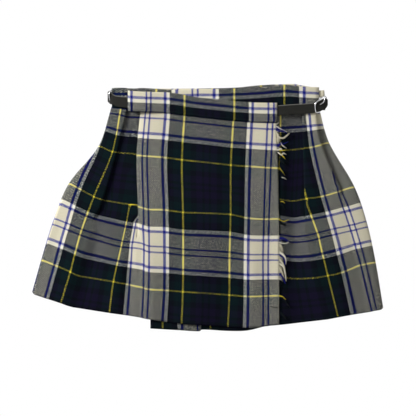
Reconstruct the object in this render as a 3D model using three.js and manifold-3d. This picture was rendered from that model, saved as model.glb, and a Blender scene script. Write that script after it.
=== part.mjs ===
// Child's wrap kilt, laid flat on its back. Millimetres, +X to the viewer's right,
// +Y towards the waist, +Z up. The origin is the middle of the outline, on the surface.
import * as THREE from 'three';
import { mergeVertices } from 'three/addons/utils/BufferGeometryUtils.js';
import Module from 'manifold-3d';

const wasm = await Module();
wasm.setup();

// Driving sizes
const CLOTH = 1.2;             // wool wall
const BAND = 2.2;              // doubled waistband
const PITCH = 1.6;             // one layer of cloth to the next, middle to middle
const BACK_PITCH = 1.45;       // the same in the pressed back pleats
const FLOOR = CLOTH / 2;       // middle of the layer that rests on the surface
const SEAM_GAP = 0.4;          // between two sewn edges
const STRAP_WIDTH = 12.4;
const STRAP = 1.5;             // leather thickness
const WIRE = 1.9;              // buckle wire
const PLEATS = 12;             // knife pleats across the back
const FRINGE_LOCKS = 66;

// Cloth rows, in millimetres of cloth below the first white stripe's middle
const ROWS = { seam: -3.6, yellow1: 48.8, yellow2: 111, thin: 160, yellow3: 208.6, hem: 245.9 };
const LEVELS = Object.values(ROWS);
const CLOTH_ROWS = [-3.6, 12, 30, 48.8, 70, 92, 111, 122, 132, 141, 150, 160, 176, 192, 208.6, 222, 234, 245.9];

const material = (color, roughness, metalness = 0) =>
  new THREE.MeshStandardMaterial({ color, roughness, metalness });
const WOOL = material(0x2a3038, 0.9);
const PALE_WOOL = material(0xb8b4a4, 0.9);
const LEATHER = material(0x242421, 0.55);
const CHROME = material(0xc8c8cc, 0.15, 1);

const garment = new THREE.Group();
const lerp = THREE.MathUtils.lerp;
const clamp01 = (t) => THREE.MathUtils.clamp(t, 0, 1);

// Straight lines between the points of a short table of [place, value]
function along(table, place) {
  const last = table.length - 1;
  if (place <= table[0][0]) return table[0][1];
  for (let i = 1; i <= last; i++) {
    const [p0, v0] = table[i - 1];
    const [p1, v1] = table[i];
    if (place <= p1) return lerp(v0, v1, (place - p0) / (p1 - p0));
  }
  return table[last][1];
}

// A smooth curve through one value for each of the named rows
function smooth(values, row, levels = LEVELS) {
  const last = levels.length - 1;
  let i = 0;
  while (i < last - 1 && row > levels[i + 1]) i++;
  const t = (row - levels[i]) / (levels[i + 1] - levels[i]);
  const slope = (k) => {
    const a = Math.max(k - 1, 0);
    const b = Math.min(k + 1, last);
    return (values[b] - values[a]) / (levels[b] - levels[a]);
  };
  const h = levels[i + 1] - levels[i];
  const t2 = t * t;
  const t3 = t2 * t;
  return (2 * t3 - 3 * t2 + 1) * values[i] + (t3 - 2 * t2 + t) * h * slope(i)
    + (3 * t2 - 2 * t3) * values[i + 1] + (t3 - t2) * h * slope(i + 1);
}

function addMesh(name, geometry, look) {
  const mesh = new THREE.Mesh(geometry, look);
  mesh.name = name;
  garment.add(mesh);
  return mesh;
}

// A closed wall of even thickness round a grid of middle points: grid[row][column]
function wallGeometry(grid, thickness) {
  const rows = grid.length;
  const columns = grid[0].length;
  const points = [];
  const half = thickness / 2;
  for (const side of [half, -half]) {
    for (let r = 0; r < rows; r++) {
      for (let c = 0; c < columns; c++) {
        const acrossA = grid[r][Math.max(c - 1, 0)];
        const acrossB = grid[r][Math.min(c + 1, columns - 1)];
        const downA = grid[Math.max(r - 1, 0)][c];
        const downB = grid[Math.min(r + 1, rows - 1)][c];
        const across = new THREE.Vector3().subVectors(acrossB, acrossA);
        const up = new THREE.Vector3().subVectors(downA, downB);
        const out = across.cross(up).normalize().multiplyScalar(side);
        points.push(grid[r][c].clone().add(out));
      }
    }
  }
  const back = rows * columns;
  const at = (r, c) => r * columns + c;
  const faces = [];
  const quad = (a, b, c, d) => faces.push(a, b, c, a, c, d);
  for (let r = 0; r < rows - 1; r++) {
    for (let c = 0; c < columns - 1; c++) {
      quad(at(r, c), at(r + 1, c), at(r + 1, c + 1), at(r, c + 1));
      quad(back + at(r, c), back + at(r, c + 1), back + at(r + 1, c + 1), back + at(r + 1, c));
    }
    quad(at(r, 0), back + at(r, 0), back + at(r + 1, 0), at(r + 1, 0));
    const e = columns - 1;
    quad(at(r, e), at(r + 1, e), back + at(r + 1, e), back + at(r, e));
  }
  for (let c = 0; c < columns - 1; c++) {
    const e = rows - 1;
    quad(at(0, c), at(0, c + 1), back + at(0, c + 1), back + at(0, c));
    quad(at(e, c), back + at(e, c), back + at(e, c + 1), at(e, c + 1));
  }
  const geometry = new THREE.BufferGeometry();
  geometry.setAttribute('position', new THREE.Float32BufferAttribute(points.flatMap((p) => p.toArray()), 3));
  geometry.setIndex(faces);
  return geometry;
}

const point = (x, y, z) => new THREE.Vector3(x, y, z);

// One line down the cloth: where it lies at each named row, and the height of its middle
const line = (x, y, z) => (row, levels) => point(smooth(x, row, levels), smooth(y, row, levels),
  along(z.map((value, i) => [levels[i], value]), row));

// A stitched fold: six lines round the upper fold edge and the hidden one.
// side -1 tucks to the viewer's left of the edge and +1 to the right. depth is by row; where it
// has opened, the six lines spread out at one height, and rise is the way that the rows lean there.
function foldLines(edge, side, depth, opened, rise) {
  const turn = 0.8;            // half the width of a turned edge
  const spread = 1.3;          // between two lines once the fold has opened
  const lines = [];
  for (let k = 0; k < 6; k++) {
    lines.push((row, levels) => {
      const e = edge(row, levels);
      const d = along(depth, row);
      const w = clamp01(along(opened, row));
      const near = Math.min(turn, d + turn * 0.25);
      const tuck = [
        [0, 0], [near * 0.6, PITCH * 0.45], [0, PITCH],
        [0, PITCH], [-near * 0.6, PITCH * 1.55], [0, 2 * PITCH],
      ];
      const [bulge, drop] = tuck[k];
      const inner = k < 3 ? 0 : d;
      const nearEdge = k < 2 ? turn : turn * 0.5;
      let away = inner + (k < 3 ? nearEdge - bulge : -nearEdge - bulge);
      if (k === 2) away = Math.min(turn, d * 0.5) - 0.02;
      if (k === 3) away = Math.max(d - turn, d * 0.5) + 0.02;
      if (k === 5) away = d > turn ? d - turn : d - turn * (1 - 2 * (1 - d / turn));
      if (k === 0) away = d > turn ? turn : turn * (d / turn) - turn * (1 - d / turn);
      const slant = k === 2 ? 0.18 : k === 3 ? -0.18 : 0;
      const folded = side * away;
      const flat = -side * (k - 2.5) * spread;
      return point(e.x + lerp(folded, flat, w), e.y + lerp(0, flat * rise, w), e.z - lerp(drop - slant, 0, w));
    });
  }
  return side < 0 ? lines : lines.reverse();
}

function clothGrid(lines, levels, rows, topEdge) {
  return rows.map((row, r) => lines.map((place) => {
    const p = place(row, levels);
    if (r === 0) p.y = topEdge(p.x) - SEAM_GAP;
    return p;
  }));
}

// Waistband: a row for each place along a strip, with its upper edge, its seam and its height
const overBandTable = [
  // x, top, seam, z
  [-95.6, 140, 115.6, 9.7], [-89.6, 139.4, 115.3, 9.7], [-74, 138.4, 114.8, 9.7], [-66, 138.3, 114.5, 9.2],
  [-57.2, 138.2, 114.1, 8.2], [-42.8, 137.4, 112.9, 7.9], [-28.4, 135, 110.6, 7.9], [-11.6, 132, 108.8, 7.9],
  [8.8, 130, 106.4, 7.9], [29.2, 127.8, 104.4, 7.9], [50.8, 125.9, 102.8, 7.9], [65.2, 125.6, 102.1, 7.9],
  [83.2, 125.4, 101.9, 7.9],
];
const underBandTable = [
  [-90.4, 142.3, 118.4, 5.4], [-78.8, 143.4, 118.6, 5.4], [-44, 141.4, 117.6, 5.4], [-11.6, 142.4, 118.4, 5.4],
  [12.4, 142.2, 118.8, 5.4], [30.4, 142.8, 119.2, 5.4], [50.8, 143.8, 120, 5.4],
  [65.2, 144.6, 121, 5.4], [80.8, 146.3, 121.8, 5.4], [94, 147.3, 122.2, 5.4], [110.8, 145.4, 121.8, 5.4],
  [124, 144.6, 121.2, 5.3], [129.5, 144.5, 120.8, 5], [132, 144.4, 120.6, 4.2], [132.8, 144.4, 120.6, 3.2],
  [132, 144.4, 120.6, 2.1], [129.5, 144.5, 120.7, 1.1], [125.5, 144.8, 120.9, 1.1],
];
const backBandTable = [
  [125.1, 144.9, 120.9, 1.1], [110, 147.4, 123.6, 1.1], [104, 148.6, 124.2, 1.1], [65, 147.2, 123.2, 1.1],
  [30, 144, 119.8, 1.1], [-44, 143, 118.6, 1.1], [-87, 143.2, 118.8, 1.1], [-105.4, 143.6, 119.4, 1.1],
];
const leftBandTable = [
  [-105.8, 143.6, 119.4, 1.1], [-111, 143.5, 119.8, 1.1], [-113.4, 143.4, 120, 2.1],
  [-114.2, 143.4, 120, 3.2], [-113.4, 143.4, 119.9, 4.3], [-111, 143.6, 119.6, 5.1], [-107, 143.7, 119.3, 5.4],
  [-98, 143.4, 118.9, 5.4], [-91.2, 142.4, 118.6, 5.4],
];

function waistband(name, table) {
  const heights = [0, 0.34, 0.67, 1];
  const grid = heights.map((t) => table.map(([x, top, seam, z]) => point(x, lerp(top, seam, t), z)));
  addMesh(name, wallGeometry(grid, BAND), WOOL);
}
waistband('waistband_over_apron', overBandTable);
waistband('waistband_under_apron', underBandTable);
waistband('waistband_back', backBandTable);
waistband('waistband_left_hip', leftBandTable);

const seamOf = (table) => (x) => along(
  [...table].sort((a, b) => a[0] - b[0]).map(([place, , seam]) => [place, seam]), x);
const overSeam = seamOf(overBandTable);
const underSeam = seamOf(underBandTable);
const backSeam = seamOf(backBandTable);
const hipSeam = (x) => Math.min(along([[-116, 119.6], [-104.6, 119.2], [-97.6, 118.4], [-96.4, 115.4]], x),
  x > -96.4 ? overSeam(x) : 200);

// Over apron and left side, one length of cloth. Columns: x, y and height at each named row
const leftEdge = {
  x: [-115.4, -130.9, -166.9, -185.6, -199.7, -210.4],
  y: [119.4, 73.3, 27.8, -17.4, -63.6, -101.4],
};
const hipFold = line([-97.3, -109.4, -126.2, -142.8, -154.7, -165.2],
  [116.4, 66.8, 9, -33, -81.6, -118.8], [5.4, 5.4, 5.4, 5.6, 5.8, 5.6]);
const apronFold = line([-80.6, -85.1, -83.6, -82.7, -83.3, -85.1],
  [115, 62.8, 0.8, -46, -94.8, -131.4], [5.5, 5.5, 5.5, 5.6, 5.6, 5.4]);
// A line beside a side edge. drop rounds the corner where the edge meets the hem
const edgeLine = (edge, dx, z, drop = 0) => line(edge.x.map((x) => x + dx),
  edge.y.map((y, i) => (i === 5 ? y - drop : y)), z);
const level = (z) => [z, z, z, z, z, z];
const leftLines = [
  edgeLine(leftEdge, 9, level(FLOOR)),
  edgeLine(leftEdge, 1.6, level(FLOOR)),
  edgeLine(leftEdge, 0.4, level(1.5)),
  edgeLine(leftEdge, 0, level(2.6)),
  edgeLine(leftEdge, 0.5, level(3.7), 0.8),
  edgeLine(leftEdge, 2.4, level(4.6), 3.2),
  line([-104.6, -114.4, -136.9, -152.3, -164.8, -176.5], [118.3, 67.2, 13, -29.6, -76.8, -114.8],
    [5.4, 5.4, 5.6, 6.4, 6.6, 6]),
  ...foldLines(hipFold, -1, [[-4, 6], [48.8, 11], [100, 6], [122, 0]], [[122, 0], [150, 1]], -0.29),
  line([-89, -96.8, -94.9, -103, -112.7, -117.8], [115.2, 65.4, 3.6, -44.2, -88.9, -126.6],
    [2.2, 2.2, 2.2, 4.8, 5.4, 5.4]),
  ...foldLines(apronFold, 1, [[-4, 15], [48.8, 15], [92, 12], [111, 10], [132, 0]], [[132, 0], [160, 1]], -0.17),
  line([-69.4, -72.8, -71.2, -70.4, -70.9, -72.8], [114.4, 61.8, -2.4, -49.8, -97.8, -133.8],
    [7, 7, 7, 7, 7, 6.85]),
  line([-50.6, -54.5, -52.6, -52, -52.2, -54.5], [113.4, 60.4, -3, -51, -99, -136.4], [7, 7, 7, 7.2, 7.3, 6.85]),
  line([-28.1, -31.2, -29.9, -29.6, -30, -31.6], [110.4, 57.5, -6, -53.8, -100.8, -139.6],
    [7, 7, 7, 7.1, 7.1, 6.85]),
  line([0, -2, -1.5, -2, -2.4, -3.6], [107.4, 54.3, -7, -55.5, -102.5, -141.4], [7, 7, 7, 7, 7.2, 6.85]),
  line([31, 28, 27.7, 26.5, 26.2, 24.4], [103.8, 51, -8.6, -57.4, -104.8, -143.2], [7, 7, 7, 7, 7, 6.85]),
  line([52.9, 50.6, 49.3, 48.7, 48.6, 48], [102.4, 49.4, -13, -60, -106.4, -144.2], [7, 7, 7, 7.2, 7.3, 6.85]),
  line([71.9, 69.5, 67.6, 66.4, 66.6, 66.4], [101.5, 48.1, -14.2, -60, -106.1, -143], [7, 7, 7, 7, 7, 6.85]),
  line([81.6, 84.3, 85.5, 85.8, 85.8, 85.8], [101.4, 47.4, -13.8, -60, -105.6, -140], [7, 7, 7, 7, 7, 6.85]),
];
addMesh('over_apron_and_left_side',
  wallGeometry(clothGrid(leftLines, LEVELS, CLOTH_ROWS, hipSeam), CLOTH), WOOL);

// Right side: its own rows run on to the lower hem
const RIGHT_LEVELS = [-3.6, 48.8, 111, 160, 208.6, 262];
const RIGHT_ROWS = [-3.6, 12, 30, 48.8, 70, 90, 104, 111, 118, 126, 136, 148, 160, 176, 192, 208.6, 226, 244, 262];
const rightEdge = {
  x: [133.4, 145.6, 176.2, 191.5, 201.4, 210.4],
  y: [119.4, 77.6, 24, -20.6, -66, -120.3],
};
const ridgeFold = line([113.2, 115, 116.8, 121.6, 133.6, 146.6], [121.7, 71.4, 10.2, -36.6, -83.4, -133.6],
  [5.4, 5.4, 6, 7.4, 8, 8]);
const rightHipFold = line([128.4, 136.6, 160, 173.2, 184, 197.2], [121.5, 75, 19.8, -24.6, -69, -124.8],
  [5.4, 5.4, 5.6, 6.2, 6.2, 5.8]);
const rightLines = [
  line([70, 70, 71.2, 72.4, 72.4, 72.4], [121, 69, 10.2, -35.4, -83.4, -142.2], [5.4, 5.4, 5.4, 5.4, 5.4, 5.1]),
  line([88, 88, 88.5, 89, 89, 90], [121.4, 69, 9.4, -36.4, -84, -140.6], [5.2, 5.2, 5.2, 5.2, 5.2, 5.1]),
  line([100, 100, 102.4, 104.6, 108, 112], [121.8, 69.4, 7.6, -38.6, -85.4, -138.2],
    [3.2, 2.6, 2.4, 2.6, 3, 3.2]),
  ...foldLines(ridgeFold, 1, [[-4, 2.4], [48.8, 2.4], [100, 2.4], [118, 0]], [[118, 0], [148, 1]], 0.18),
  line([118.4, 124, 137.7, 148.1, 160, 171.4], [121.6, 72.4, 13.2, -30, -78, -129], [5.4, 5.4, 6, 6.9, 7, 6.6]),
  ...foldLines(rightHipFold, -1, [[-4, 4.2], [48.8, 6], [90, 5], [104, 0]], [[104, 0], [126, 1]], 0.23),
  edgeLine(rightEdge, -2.4, [2.2, 2.2, 3.8, 4.6, 4.6, 4.6], 2.4),
  edgeLine(rightEdge, -0.5, [1.9, 1.9, 3.1, 3.7, 3.7, 3.7], 0.6),
  edgeLine(rightEdge, 0, [1.4, 1.4, 2.2, 2.6, 2.6, 2.6]),
  edgeLine(rightEdge, -0.4, [0.9, 0.9, 1.3, 1.5, 1.5, 1.5]),
  edgeLine(rightEdge, -1.6, level(FLOOR)),
  edgeLine(rightEdge, -9, level(FLOOR)),
];
addMesh('right_side', wallGeometry(clothGrid(rightLines, RIGHT_LEVELS, RIGHT_ROWS, underSeam), CLOTH), WOOL);

// Under apron: a plain panel whose hem shows below the over apron
const UNDER_ROWS = [-3.6, 48.8, 111, 160, 208.6, 244, 262];
const underLines = [
  [-68.8, 117, -145.3], [-33, 117, -147.4], [-9.6, 117.6, -148.6], [-7.4, 117.6, -146.6], [26.8, 118.6, -148.2],
  [48, 119.6, -147.6], [69.2, 120.8, -142.4],
].map(([x, top, hem]) => (row) => {
  const t = (row - UNDER_ROWS[0]) / (UNDER_ROWS.at(-1) - UNDER_ROWS[0]);
  return point(x, lerp(top, hem, t), along([[244, 5.4], [262, 4.8]], row));
});
addMesh('under_apron', wallGeometry(clothGrid(underLines, RIGHT_LEVELS, UNDER_ROWS, underSeam), CLOTH), WOOL);

// Back: flat at both sides, with knife pleats between, all folded one way
const BACK_ROWS = [0, 0.1, 0.21, 0.34, 0.46, 0.58, 0.7, 0.85, 1];
const SIDE_SEAM = 9.9;         // from the side edge, just past the end of the side panels
const pleatTop = { first: -56, last: 62, depth: 5 };
const pleatHem = { first: -84, last: 76, depth: 8 };
const backHem = [[-202, -99], [-160, -116], [-84, -131], [0, -137], [92, -136], [150, -128], [202, -113]];
// Where a side edge lies at a given height up the garment
const edgeCurve = (edge, levels) => {
  const steps = 40;
  const places = Array.from({ length: steps + 1 }, (_, i) => {
    const row = lerp(levels[0], levels[5], 1 - i / steps);
    return [smooth(edge.y, row, levels), smooth(edge.x, row, levels)];
  });
  return (y) => along(places, y);
};
const leftCurve = edgeCurve(leftEdge, LEVELS);
const rightCurve = edgeCurve(rightEdge, RIGHT_LEVELS);
const SEAM_TOP = 119;
const LEFT_SEAM_HEM = -99;
const RIGHT_SEAM_HEM = -113;
const leftSeam = (t) => leftCurve(lerp(SEAM_TOP, LEFT_SEAM_HEM, t)) + SIDE_SEAM;
const rightSeam = (t) => rightCurve(lerp(SEAM_TOP, RIGHT_SEAM_HEM, t)) - SIDE_SEAM;
function backLine(place) {
  return (t) => {
    const [x, z] = place(t);
    const top = backSeam(x) - SEAM_GAP;
    return point(x, lerp(top, along(backHem, x), t), z);
  };
}
const backLines = [
  backLine((t) => [leftSeam(t), FLOOR]),
  backLine((t) => [lerp(leftSeam(t), lerp(pleatTop.first, pleatHem.first, t), 0.6) - 4, FLOOR]),
];
for (let n = 0; n < PLEATS; n++) {
  const share = (n + 0.6) / PLEATS;
  const edgeAt = (t) => lerp(lerp(pleatTop.first, pleatTop.last, share),
    lerp(pleatHem.first, pleatHem.last, share), t);
  const depthAt = (t) => lerp(pleatTop.depth, pleatHem.depth, t);
  const turn = 0.8;            // half the width of a turned edge
  const folds = [
    [0, -turn, 0], [0, 0, 0.5], [0, -turn, 1], [1, turn, 1], [1, 0, 1.5], [1, turn, 2], [0, turn, 2], [0, 3.4, 0],
  ];
  for (const [tucked, dx, up] of folds) {
    backLines.push(backLine((t) => [edgeAt(t) - tucked * depthAt(t) + dx, FLOOR + up * BACK_PITCH]));
  }
}
backLines.push(
  backLine((t) => [lerp(lerp(pleatTop.last, pleatHem.last, t), rightSeam(t), 0.4), FLOOR]),
  backLine((t) => [rightSeam(t), FLOOR]),
);
addMesh('back_pleats', wallGeometry(BACK_ROWS.map((t) => backLines.map((place) => place(t))), CLOTH), WOOL);

// Fringe: a narrow strip beside the over apron's free edge, with locks of weft thread
function solidOf(geometry) {
  const plain = geometry.clone();
  plain.deleteAttribute('normal');
  plain.deleteAttribute('uv');
  const merged = mergeVertices(plain, 1e-4);
  return new wasm.Manifold(new wasm.Mesh({
    numProp: 3,
    vertProperties: new Float32Array(merged.attributes.position.array),
    triVerts: new Uint32Array(merged.index.array),
  }));
}
function geometryOf(solid) {
  const mesh = solid.getMesh();
  const geometry = new THREE.BufferGeometry();
  geometry.setAttribute('position', new THREE.Float32BufferAttribute(mesh.vertProperties, 3));
  geometry.setIndex(new THREE.BufferAttribute(mesh.triVerts, 1));
  return geometry;
}
// A tapering rod of three or four sides through a few points
function rod(points, radii, sides = 3) {
  const rings = points.map((p, i) => {
    const a = points[Math.max(i - 1, 0)];
    const b = points[Math.min(i + 1, points.length - 1)];
    const way = new THREE.Vector3().subVectors(b, a).normalize();
    const side = new THREE.Vector3(-way.y, way.x, 0).normalize();
    const up = new THREE.Vector3().crossVectors(way, side);
    return Array.from({ length: sides }, (_, k) => {
      const angle = (2 * Math.PI * k) / sides + Math.PI / 2;
      return p.clone().addScaledVector(side, Math.cos(angle) * radii[i])
        .addScaledVector(up, Math.sin(angle) * radii[i]);
    });
  });
  const flat = rings.flat();
  const faces = [];
  for (let r = 0; r < rings.length - 1; r++) {
    for (let k = 0; k < sides; k++) {
      const a = r * sides + k;
      const b = r * sides + ((k + 1) % sides);
      faces.push(a, b, b + sides, a, b + sides, a + sides);
    }
  }
  const end = (rings.length - 1) * sides;
  for (let k = 1; k < sides - 1; k++) {
    faces.push(0, k + 1, k, end, end + k, end + k + 1);
  }
  const geometry = new THREE.BufferGeometry();
  geometry.setAttribute('position', new THREE.Float32BufferAttribute(flat.flatMap((p) => p.toArray()), 3));
  geometry.setIndex(faces);
  return geometry;
}
// Places down the edge: y, x of the strip's outer side, and each tuft's length and fall
const fringeTable = [
  [100, 84, 4, 2], [97, 84.4, 9, -6], [88, 84.6, 15, -3], [80, 84.8, 11, -7], [70, 85.2, 11, -6],
  [60, 86.2, 7, -4], [40, 86.8, 5, -3], [20, 87.2, 4, -4], [0, 88, 5, -3], [-15, 88.2, 9, -1],
  [-27, 88.2, 5, -3], [-38, 88.2, 11, -5], [-50, 88.2, 6, -6], [-75, 88.2, 6, -7], [-90, 88.2, 6, -6],
  [-104, 88.2, 9, -6], [-120, 88.2, 5, -5], [-138, 88.2, 4, -4],
];
const fringeColumn = (k) => [...fringeTable].reverse().map((row) => [row[0], row[k]]);
const FRINGE_HEIGHT = 6.9;
const fringeTop = 99;
const fringeFoot = -137;
const strip = wallGeometry([1, 0.75, 0.5, 0.25, 0].map((t) => {
  const y = lerp(fringeFoot, fringeTop, t);
  const x = along(fringeColumn(1), y);
  return [point(x - 1.2, y, FRINGE_HEIGHT), point(x, y, FRINGE_HEIGHT)];
}), 0.9);
let fringe = solidOf(strip);
for (let n = 0; n < FRINGE_LOCKS; n++) {
  const y = lerp(fringeTop - 1.5, fringeFoot + 1.5, n / (FRINGE_LOCKS - 1));
  const x = along(fringeColumn(1), y);
  const uneven = 0.75 + 0.35 * Math.sin(n * 2.4);
  const reach = along(fringeColumn(2), y) * uneven;
  const fall = along(fringeColumn(3), y) * uneven;
  const middle = point(x + reach * 0.5, y + fall * 0.3, FRINGE_HEIGHT + 0.1);
  const tip = point(x + reach, y + fall, FRINGE_HEIGHT - 0.2);
  fringe = fringe.add(solidOf(rod([point(x - 0.7, y, FRINGE_HEIGHT), middle, tip], [0.5, 0.62, 0.2])));
}
addMesh('fringe', geometryOf(fringe), PALE_WOOL);

// Leather straps: a row for each place along the strap, with its middle line and height
function strapGeometry(table) {
  const half = STRAP_WIDTH / 2;
  const grid = [half, 0, -half].map((dy) => table.map(([x, y, z, tip = 1]) => point(x, y + dy * tip, z)));
  return wallGeometry(grid, STRAP);
}
const rightStrapTable = [
  [84, 116.2, 7.6], [96, 117.2, 7.6], [112, 118.2, 7.6], [122, 119, 7.6], [128, 119.8, 7.5],
  [132.5, 120.4, 7.2], [137, 120.8, 6.6], [140.6, 121, 5.8], [143.4, 121.2, 4.9, 0.62],
];
const leftStrapTable = [
  [-119.7, 129.4, 2.7, 0.7], [-118.6, 129.4, 4.6], [-117, 129, 6.85], [-114, 128.6, 7.4], [-109, 128.2, 7.6],
  [-96, 127.2, 7.6], [-76, 126.4, 7.6],
];
// The hole that the prong comes through
const prongHole = rod([point(139.9, 120.8, 3.6), point(136.5, 120.8, 9.8)], [1.35, 1.35], 4);
addMesh('strap_right',
  geometryOf(solidOf(strapGeometry(rightStrapTable)).subtract(solidOf(prongHole))), LEATHER);
addMesh('strap_left', strapGeometry(leftStrapTable), LEATHER);

// A buckle: a frame bent from round wire with a straight bar, and its prong
function ringOfWire(centre, width, height, corner, lean, squareSide) {
  const shape = [];
  const corners = [[1, 1], [-1, 1], [-1, -1], [1, -1]];
  corners.forEach(([sx, sy], q) => {
    const r = sx === squareSide ? corner * 0.35 : corner;
    for (let k = 0; k <= 3; k++) {
      const angle = q * (Math.PI / 2) + (k / 3) * (Math.PI / 2);
      shape.push([sx * (width / 2 - r) + r * Math.cos(angle), sy * (height / 2 - r) + r * Math.sin(angle)]);
    }
  });
  const sides = 6;
  const rings = shape.map(([u, v], i) => {
    const [pu, pv] = shape[(i + shape.length - 1) % shape.length];
    const [nu, nv] = shape[(i + 1) % shape.length];
    const way = new THREE.Vector2(nu - pu, nv - pv).normalize();
    return Array.from({ length: sides }, (_, k) => {
      const angle = (2 * Math.PI * k) / sides;
      const out = (WIRE / 2) * Math.cos(angle);
      const local = point(u + way.y * out, v - way.x * out, (WIRE / 2) * Math.sin(angle));
      return local.applyAxisAngle(new THREE.Vector3(0, 1, 0), lean).add(centre);
    });
  });
  const faces = [];
  for (let r = 0; r < rings.length; r++) {
    for (let k = 0; k < sides; k++) {
      const a = r * sides + k;
      const b = r * sides + ((k + 1) % sides);
      const c = ((r + 1) % rings.length) * sides + ((k + 1) % sides);
      const d = ((r + 1) % rings.length) * sides + k;
      faces.push(a, c, b, a, d, c);
    }
  }
  const geometry = new THREE.BufferGeometry();
  geometry.setAttribute('position',
    new THREE.Float32BufferAttribute(rings.flat().flatMap((p) => p.toArray()), 3));
  geometry.setIndex(faces);
  return geometry;
}
const BUCKLE = { width: 11, height: 17, corner: 3.6 };
const rightBuckle = point(134, 121, 6.7);
const RIGHT_LEAN = 0.52;
addMesh('buckle_right',
  ringOfWire(rightBuckle, BUCKLE.width, BUCKLE.height, BUCKLE.corner, RIGHT_LEAN, 1), CHROME);
const leftBuckle = point(-120.8, 130.2, 6.4);
const LEFT_LEAN = Math.PI / 2;
const LEFT_WIDTH = 9;
addMesh('buckle_left',
  ringOfWire(leftBuckle, LEFT_WIDTH, BUCKLE.height, BUCKLE.corner, LEFT_LEAN, 1), CHROME);

// Prongs, from the straight bar across to the curved one
addMesh('prong_right', rod([
  point(138.7, 120.8, 5.5), point(137.9, 120.8, 7.1), point(136.6, 120.8, 8.5), point(133, 120.6, 10),
  point(128.8, 120.4, 11.2),
], [0.6, 0.6, 0.6, 0.55, 0.4], 4), CHROME);
addMesh('prong_left', rod([
  point(-122.8, 130.2, 2), point(-122.7, 130.2, 6.4), point(-122.5, 130.2, 11.4),
], [0.55, 0.6, 0.4], 4), CHROME);

// Leather loops that hold the buckles' straight bars to the hips
const LOOP_WIDTH = 8;
function loopGeometry(middle, table) {
  const grid = [0.5, 0, -0.5].map((t) => table.map(([x, z]) => point(x, middle + t * LOOP_WIDTH, z)));
  return wallGeometry(grid, CLOTH);
}
addMesh('buckle_loop_right', loopGeometry(121, [
  [134.5, 2.6], [136.4, 2.1], [138.8, 2.05], [140.2, 2.6], [140.8, 3.8],
]), LEATHER);
addMesh('buckle_loop_left', loopGeometry(130.2, [[-119.4, 1.7], [-117.4, 1.4], [-115.7, 1.6]]), LEATHER);

export default garment;
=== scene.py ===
# %% [markdown]
# A child's wrap kilt laid flat on its back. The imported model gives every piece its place, and
# this lesson dresses it: sheets of tartan wool that follow the same folds, a fringed edge,
# leather straps and chrome buckles. Everything is in metres inside Blender, but the tables
# below are in millimetres, which is how a maker measures cloth.

# %% load the frame
import math
import random

import bmesh
import bpy
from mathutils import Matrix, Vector


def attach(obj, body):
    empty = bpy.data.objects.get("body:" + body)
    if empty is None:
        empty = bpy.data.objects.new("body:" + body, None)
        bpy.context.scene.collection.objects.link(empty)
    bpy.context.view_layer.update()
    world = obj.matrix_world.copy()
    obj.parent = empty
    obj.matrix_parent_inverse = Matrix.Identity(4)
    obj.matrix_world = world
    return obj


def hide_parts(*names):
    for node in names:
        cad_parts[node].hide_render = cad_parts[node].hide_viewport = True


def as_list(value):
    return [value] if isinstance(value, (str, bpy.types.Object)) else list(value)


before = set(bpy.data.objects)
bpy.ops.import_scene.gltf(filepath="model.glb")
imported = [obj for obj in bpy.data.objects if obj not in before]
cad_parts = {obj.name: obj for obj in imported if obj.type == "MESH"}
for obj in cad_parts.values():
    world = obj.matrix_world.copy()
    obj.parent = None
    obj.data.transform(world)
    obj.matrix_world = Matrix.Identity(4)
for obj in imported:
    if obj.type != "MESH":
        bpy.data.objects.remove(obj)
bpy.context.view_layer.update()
MM = 0.001
print("nodes", len(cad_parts))

# %% [markdown]
# The camera looks straight down, as in a cut-out picture of a garment on a table. A long lens
# far away keeps the edges of the cloth from leaning.

# %% camera
CAMERA_HEIGHT = 1.8
CAMERA_AIM = (0.36, -0.6)      # the middle of the picture, in millimetres
CLOTH_HEIGHT = 0.006           # the height at which the frame's width is measured
FRAME_WIDTH = 0.4992           # what 416 pixels show, at 1.2 mm each
SENSOR = 36.0

camera_data = bpy.data.cameras.new("camera")
camera_data.sensor_width = SENSOR
camera_data.lens = SENSOR * (CAMERA_HEIGHT - CLOTH_HEIGHT) / FRAME_WIDTH
camera = bpy.data.objects.new("camera", camera_data)
camera.location = (CAMERA_AIM[0] * MM, CAMERA_AIM[1] * MM, CAMERA_HEIGHT)
bpy.context.scene.collection.objects.link(camera)
bpy.context.scene.camera = camera
print("lens", round(camera_data.lens, 1))

# %% [markdown]
# A maker's rows: the cloth is woven with the same stripes both ways, so one number says how far
# down the cloth a row is and another how far across. Each line down the cloth is a short table:
# where it lies at six named rows, how high it is, and which warp thread it is.

# %% rows of the cloth and smooth curves through them
CLOTH = 1.2
BAND = 2.2
PITCH = 1.6
FLOOR = CLOTH / 2
TUCK = 0.8                     # how far a cloth edge goes inside the waistband
LEVELS = [-3.6, 48.8, 111, 160, 208.6, 245.9]
RIGHT_LEVELS = [-3.6, 48.8, 111, 160, 208.6, 262]


def lerp(a, b, t):
    return a + (b - a) * t


def along(table, place):
    """Straight lines between the points of a table of (place, value)."""
    if place <= table[0][0]:
        return table[0][1]
    for (p0, v0), (p1, v1) in zip(table, table[1:]):
        if place <= p1:
            return lerp(v0, v1, (place - p0) / (p1 - p0))
    return table[-1][1]


def hermite(p0, v0, m0, p1, v1, m1, place):
    h = p1 - p0
    t = (place - p0) / h
    t2 = t * t
    t3 = t2 * t
    return ((2 * t3 - 3 * t2 + 1) * v0 + (t3 - 2 * t2 + t) * h * m0
            + (3 * t2 - 2 * t3) * v1 + (t3 - t2) * h * m1)


def smooth(values, place, levels):
    """A smooth curve through one value at each level."""
    last = len(levels) - 1
    i = 0
    while i < last - 1 and place > levels[i + 1]:
        i += 1

    def slope(k):
        a, b = max(k - 1, 0), min(k + 1, last)
        return (values[b] - values[a]) / (levels[b] - levels[a])

    return hermite(levels[i], values[i], slope(i), levels[i + 1], values[i + 1], slope(i + 1), place)


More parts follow.
